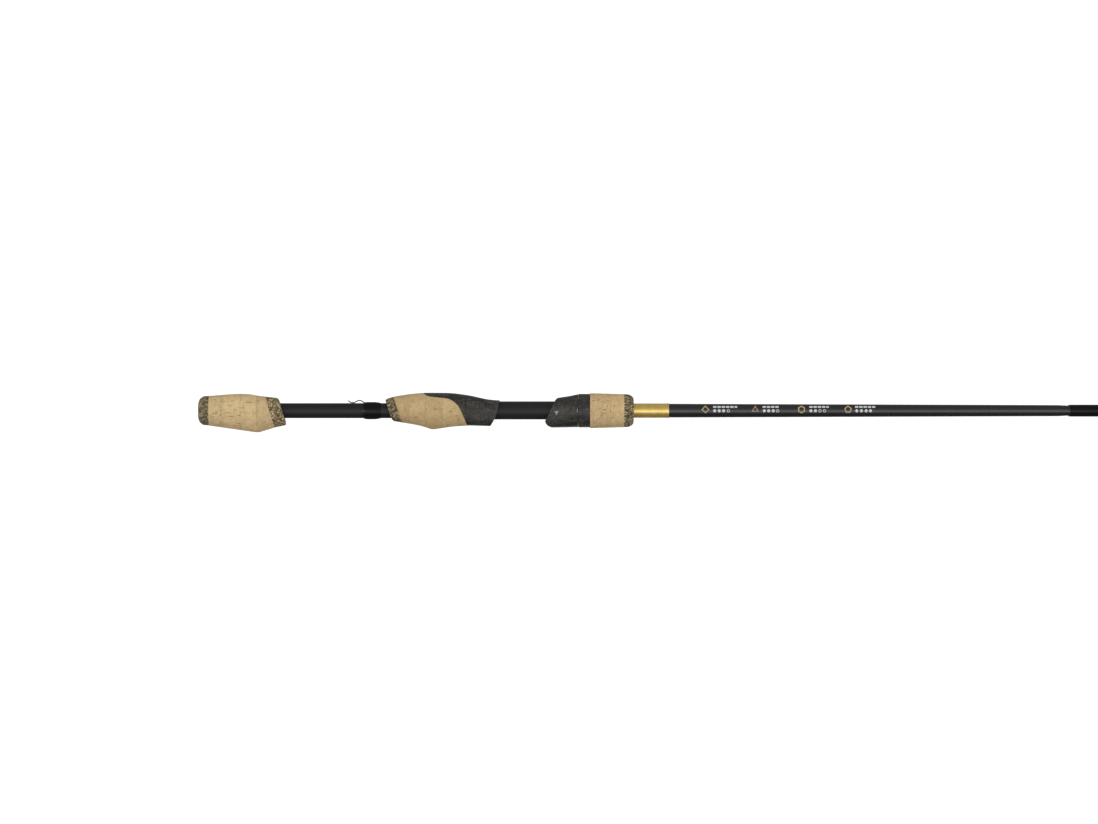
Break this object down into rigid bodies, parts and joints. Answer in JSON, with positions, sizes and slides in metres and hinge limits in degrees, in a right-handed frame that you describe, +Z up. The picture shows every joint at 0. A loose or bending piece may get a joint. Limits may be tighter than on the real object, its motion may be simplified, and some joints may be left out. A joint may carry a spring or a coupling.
{
  "type": "spinning rod",
  "caption": "Take-apart spinning rod with split cork grips, a reel seat whose hood is screwed down by the foregrip, a gold sleeve and ring guides under the blank.",
  "frame": {"origin": "on the rod's axis, at the butt cap's rear face", "axes": "+X along the rod from butt to tip, +Z up, with the reel and the guides on the -Z side"},
  "size_m": [2.0056, 0.0264, 0.0542],
  "materials": {
    "blank": "satin lacquer over carbon",
    "cork": "sanded natural cork",
    "rubber_cork": "rubberised cork, mottled",
    "marbled_composite": "satin marbled composite",
    "seat_barrel": "satin",
    "epoxy_wrap": "gloss epoxy over thread",
    "dark_wire": "dark plated",
    "dark_steel": "dark plated",
    "ceramic": "polished ceramic",
    "gold_metal": "satin gold anodised",
    "insert_metal": "machined",
    "arbor": "matt"
  },
  "bodies": {
    "handle": {"butt_blank": "blank", "butt_cap": "rubber_cork", "butt_cork": "cork", "butt_collar": "rubber_cork", "hook_keeper": "dark_wire", "keeper_wrap": "epoxy_wrap", "rear_collar": "rubber_cork", "rear_cork": "cork", "seat_shell": "marbled_composite", "seat_barrel": "seat_barrel", "rear_arbor": "arbor", "front_arbor": "arbor", "gold_sleeve": "gold_metal", "sleeve_ring": "gold_metal"},
    "hood": {"sliding_hood": "marbled_composite"},
    "nut": {"locking_nut": "marbled_composite", "nut_insert": "insert_metal", "fore_cork": "cork", "fore_cap": "rubber_cork"},
    "mid_section": {"mid_blank": "blank", "mid_ferrule_wrap": "epoxy_wrap", "guide_1_frame": "dark_steel", "guide_1_ring": "ceramic", "guide_1_wrap": "epoxy_wrap", "guide_2_frame": "dark_steel", "guide_2_ring": "ceramic", "guide_2_wrap": "epoxy_wrap"},
    "tip_section": {"tip_blank": "blank", "tip_ferrule_wrap": "epoxy_wrap", "guide_3_frame": "dark_steel", "guide_3_ring": "ceramic", "guide_3_wrap": "epoxy_wrap", "guide_4_frame": "dark_steel", "guide_4_ring": "ceramic", "guide_4_wrap": "epoxy_wrap", "guide_5_frame": "dark_steel", "guide_5_ring": "ceramic", "guide_5_wrap": "epoxy_wrap", "guide_6_frame": "dark_steel", "guide_6_ring": "ceramic", "guide_6_wrap": "epoxy_wrap", "guide_7_frame": "dark_steel", "guide_7_ring": "ceramic", "guide_7_wrap": "epoxy_wrap", "tip_top_tube": "dark_steel", "tip_top_frame": "dark_steel", "tip_top_ring": "ceramic"}
  },
  "joints": [
    {"name": "hood_slide", "type": "slide", "parent": "handle", "child": "hood", "axis": [1, 0, 0], "range_m": [-0.0061, 0.0141]},
    {"name": "nut_turn", "type": "hinge", "parent": "hood", "child": "nut", "pos_m": [0.294, 0, 0], "axis": [1, 0, 0], "range_deg": [-864, 2016]},
    {"name": "mid_section_pull", "type": "slide", "parent": "handle", "child": "mid_section", "axis": [1, 0, 0], "range_m": [0, 0.06]},
    {"name": "tip_section_pull", "type": "slide", "parent": "mid_section", "child": "tip_section", "axis": [1, 0, 0], "range_m": [0, 0.06]}
  ],
  "couplings": [
    {"joint": "hood_slide", "follows": "nut_turn", "m_per_rad": 0.00039789}
  ]
}
